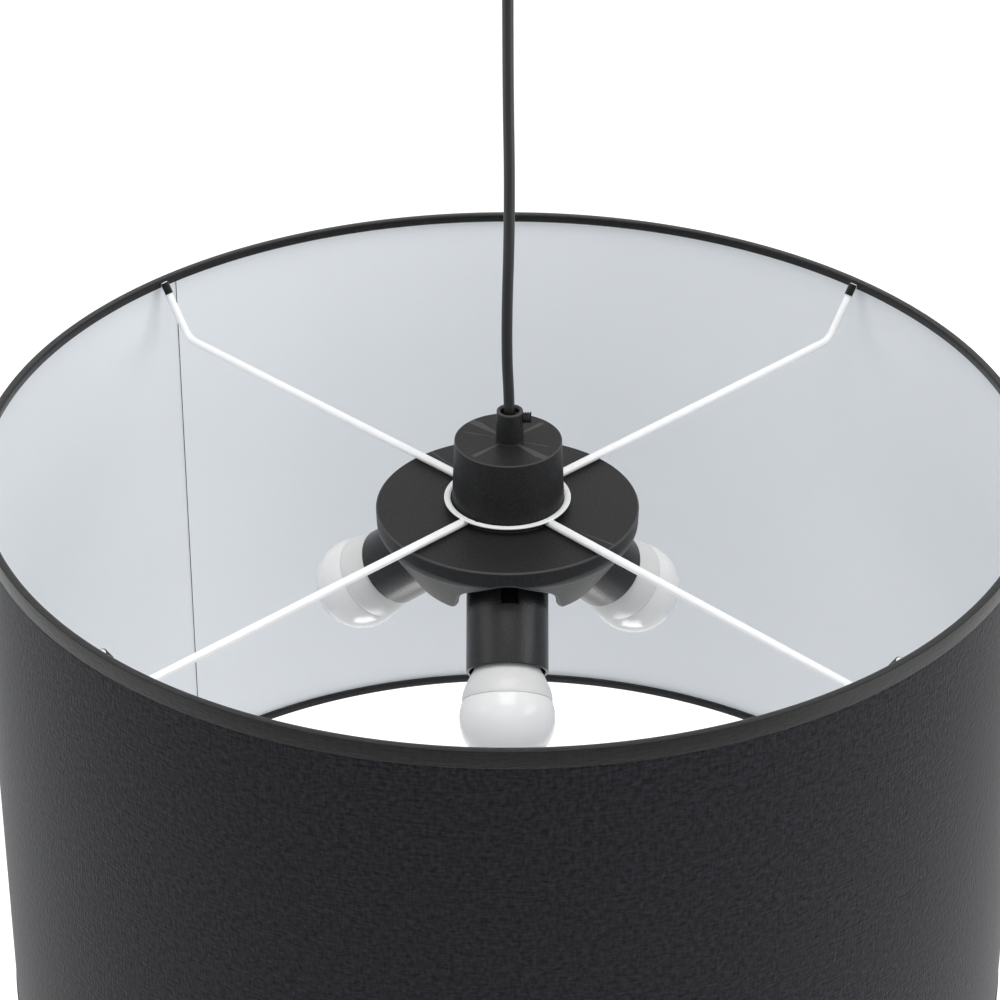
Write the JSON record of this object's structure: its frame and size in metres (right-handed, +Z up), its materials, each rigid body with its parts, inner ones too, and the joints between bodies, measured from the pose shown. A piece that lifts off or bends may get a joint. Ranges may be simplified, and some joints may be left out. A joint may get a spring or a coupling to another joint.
{
  "type": "ceiling pendant lamp",
  "caption": "Hanging lamp with a wide dark drum shade on a white wire spider, a black hub, angled screw lampholders with globe bulbs, and a black cord to a ceiling canopy.",
  "frame": {"origin": "middle of the ceiling plane the lamp hangs from, between the ceiling bracket's two screw holes", "axes": "+Z up through the ceiling, so all of the lamp lies below zero; -Y towards the viewer of the picture; +X to the viewer's right"},
  "size_m": [0.4999, 0.5, 0.571],
  "materials": {
    "zinc_sheet": "zinc plated",
    "terminal_plastic": "natural moulding",
    "black_moulding": "satin black",
    "cord_sheath": "smooth black sheath",
    "carrier_casting": "black coated casting",
    "holder_shell": "satin black",
    "holder_core": "dull black",
    "screw_shell": "bright rolled shell",
    "contact_metal": "bright",
    "cap_metal": "bright rolled cap",
    "bulb_housing": "white moulding",
    "bulb_globe": "opal white",
    "white_wire": "white coating",
    "white_liner": "smooth white film",
    "dark_fabric": "fine weave, charcoal",
    "edge_tape": "textile tape, charcoal"
  },
  "bodies": {
    "pendant": {"ceiling_bracket": "zinc_sheet", "ceiling_terminal_block": "terminal_plastic", "suspension_cord": "cord_sheath", "hub_grip": "black_moulding", "hub_grip_screw": "black_moulding", "hub_nut": "zinc_sheet", "hub_cup": "black_moulding", "cup_screws": "zinc_sheet", "cup_terminal_block": "terminal_plastic", "hub_body": "black_moulding", "hub_stud": "zinc_sheet", "stud_nut": "zinc_sheet", "holder_carrier": "carrier_casting", "carrier_plug": "black_moulding", "holder_nipples": "zinc_sheet", "holder_sleeve_front": "holder_shell", "holder_insert_front": "holder_core", "holder_thread_front": "screw_shell", "holder_contact_front": "contact_metal", "holder_sleeve_left": "holder_shell", "holder_insert_left": "holder_core", "holder_thread_left": "screw_shell", "holder_contact_left": "contact_metal", "holder_sleeve_right": "holder_shell", "holder_insert_right": "holder_core", "holder_thread_right": "screw_shell", "holder_contact_right": "contact_metal"},
    "canopy": {"canopy": "black_moulding", "canopy_grip": "black_moulding", "canopy_grip_screw": "black_moulding", "canopy_nut": "zinc_sheet"},
    "shade": {"spider_ring": "white_wire", "arm_front_left": "white_wire", "arm_front_right": "white_wire", "arm_back_right": "white_wire", "arm_back_left": "white_wire", "arm_tabs": "edge_tape", "top_ring": "white_wire", "bottom_ring": "white_wire", "shade_liner": "white_liner", "shade_fabric": "dark_fabric", "top_trim": "edge_tape", "bottom_trim": "edge_tape"},
    "bulb_front_lift": {"bulb_tip_front": "contact_metal"},
    "bulb_front": {"bulb_cap_front": "cap_metal", "bulb_housing_front": "bulb_housing", "bulb_dome_front": "bulb_globe"},
    "bulb_left_lift": {"bulb_tip_left": "contact_metal"},
    "bulb_left": {"bulb_cap_left": "cap_metal", "bulb_housing_left": "bulb_housing", "bulb_dome_left": "bulb_globe"},
    "bulb_right_lift": {"bulb_tip_right": "contact_metal"},
    "bulb_right": {"bulb_cap_right": "cap_metal", "bulb_housing_right": "bulb_housing", "bulb_dome_right": "bulb_globe"}
  },
  "joints": [
    {"name": "canopy_slide", "type": "slide", "parent": "pendant", "child": "canopy", "axis": [0, 0, -1], "range_m": [0, 0.06]},
    {"name": "shade_turn", "type": "hinge", "parent": "pendant", "child": "shade", "pos_m": [0, 0, -0.3048], "axis": [0, 0, 1], "continuous": true},
    {"name": "bulb_front_travel", "type": "slide", "parent": "pendant", "child": "bulb_front_lift", "axis": [-0.0003, -0.7406, -0.672], "range_m": [0, 0.01089]},
    {"name": "bulb_front_screw", "type": "hinge", "parent": "bulb_front_lift", "child": "bulb_front", "pos_m": [0, -0.06152, -0.36008], "axis": [-0.0003, -0.7406, -0.672], "range_deg": [0, 1080]},
    {"name": "bulb_left_travel", "type": "slide", "parent": "pendant", "child": "bulb_left_lift", "axis": [-0.6849, 0.345, -0.6418], "range_m": [0, 0.01089]},
    {"name": "bulb_left_screw", "type": "hinge", "parent": "bulb_left_lift", "child": "bulb_left", "pos_m": [-0.05687, 0.02866, -0.35758], "axis": [-0.6849, 0.345, -0.6418], "range_deg": [0, 1080]},
    {"name": "bulb_right_travel", "type": "slide", "parent": "pendant", "child": "bulb_right_lift", "axis": [0.5966, 0.3956, -0.6982], "range_m": [0, 0.01089]},
    {"name": "bulb_right_screw", "type": "hinge", "parent": "bulb_right_lift", "child": "bulb_right", "pos_m": [0.04959, 0.03286, -0.36227], "axis": [0.5966, 0.3956, -0.6982], "range_deg": [0, 1080]}
  ],
  "couplings": [
    {"joint": "bulb_front_travel", "follows": "bulb_front_screw", "m_per_rad": 0.0005776},
    {"joint": "bulb_left_travel", "follows": "bulb_left_screw", "m_per_rad": 0.0005776},
    {"joint": "bulb_right_travel", "follows": "bulb_right_screw", "m_per_rad": 0.0005776}
  ]
}
